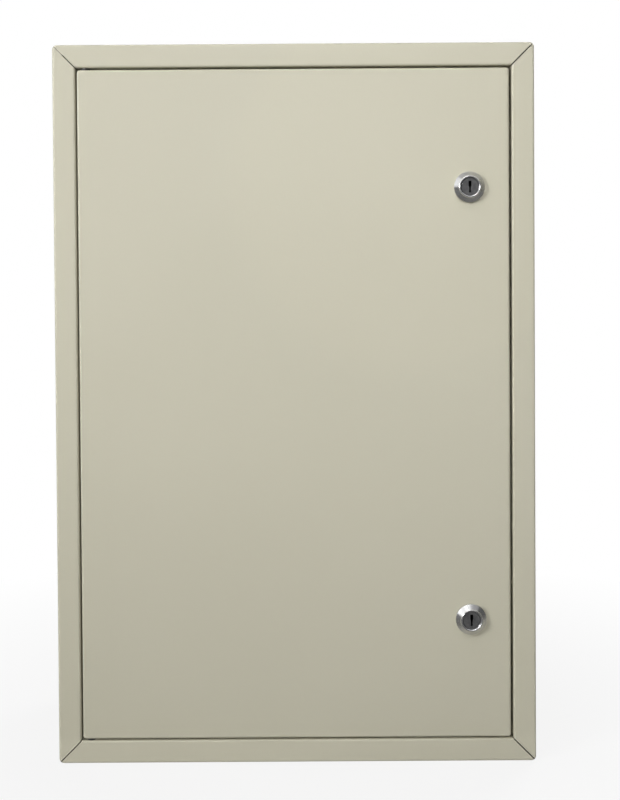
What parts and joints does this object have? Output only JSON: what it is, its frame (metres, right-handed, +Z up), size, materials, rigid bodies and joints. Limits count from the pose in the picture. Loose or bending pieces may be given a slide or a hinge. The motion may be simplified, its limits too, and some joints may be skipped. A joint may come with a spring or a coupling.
{
  "type": "wall-mounted utility cabinet",
  "caption": "Sheet-steel utility cabinet with a mitred front frame, a flush inset door on hidden pivot hinges and keyed cam locks; holds electrical or service gear behind a lockable door.",
  "frame": {"origin": "middle of the base, on the surface it can stand on", "axes": "+Z up, the door faces -Y, +X to the right seen from the front"},
  "size_m": [0.4, 0.207, 0.6],
  "materials": {
    "enclosure_paint": "pebble-grey powder coat, fine texture, satin",
    "zinc_steel": "bright zinc plated",
    "galvanised_sheet": "galvanised sheet",
    "lock_chrome": "bright chrome",
    "lock_plug": "nickel, satin turned face",
    "seal_foam": "foamed polyurethane, black",
    "gasket_rubber": "black sheet rubber",
    "bush_nylon": "black nylon"
  },
  "bodies": {
    "cabinet": {"body_shell": "enclosure_paint", "back_panel": "enclosure_paint", "upper_pivot_plate": "zinc_steel", "lower_pivot_plate": "zinc_steel", "upper_hinge_pin": "zinc_steel", "lower_hinge_pin": "zinc_steel", "mounting_plate": "galvanised_sheet", "plate_studs": "zinc_steel", "plate_spacers": "zinc_steel", "plate_washers": "zinc_steel", "plate_nuts": "zinc_steel", "gland_plate": "galvanised_sheet", "gland_gasket": "gasket_rubber", "gland_studs": "zinc_steel", "gland_washers": "zinc_steel", "gland_nuts": "zinc_steel", "body_earth_stud": "zinc_steel", "body_earth_washer": "zinc_steel", "body_earth_nut": "zinc_steel"},
    "door": {"door_panel": "enclosure_paint", "door_stiffener": "enclosure_paint", "door_seal": "seal_foam", "upper_door_pivot": "zinc_steel", "lower_door_pivot": "zinc_steel", "upper_hinge_bush": "bush_nylon", "lower_hinge_bush": "bush_nylon", "door_earth_stud": "zinc_steel", "door_earth_washer": "zinc_steel", "door_earth_nut": "zinc_steel", "upper_lock_housing": "lock_chrome", "lower_lock_housing": "lock_chrome", "upper_lock_nut": "zinc_steel", "lower_lock_nut": "zinc_steel"},
    "upper_lock": {"upper_lock_plug": "lock_plug", "upper_stop_washer": "zinc_steel", "upper_lock_cam": "zinc_steel", "upper_cam_washer": "zinc_steel", "upper_cam_nut": "zinc_steel"},
    "lower_lock": {"lower_lock_plug": "lock_plug", "lower_stop_washer": "zinc_steel", "lower_lock_cam": "zinc_steel", "lower_cam_washer": "zinc_steel", "lower_cam_nut": "zinc_steel"}
  },
  "joints": [
    {"name": "door_hinge", "type": "hinge", "parent": "cabinet", "child": "door", "pos_m": [-0.1731, -0.0913, 0.3], "axis": [0, 0, -1], "range_deg": [0, 115]},
    {"name": "upper_lock_turn", "type": "hinge", "parent": "door", "child": "upper_lock", "pos_m": [0.1455, -0.0965, 0.48], "axis": [0, -1, 0], "range_deg": [0, 90]},
    {"name": "lower_lock_turn", "type": "hinge", "parent": "door", "child": "lower_lock", "pos_m": [0.1455, -0.0965, 0.12], "axis": [0, -1, 0], "range_deg": [0, 90]}
  ]
}
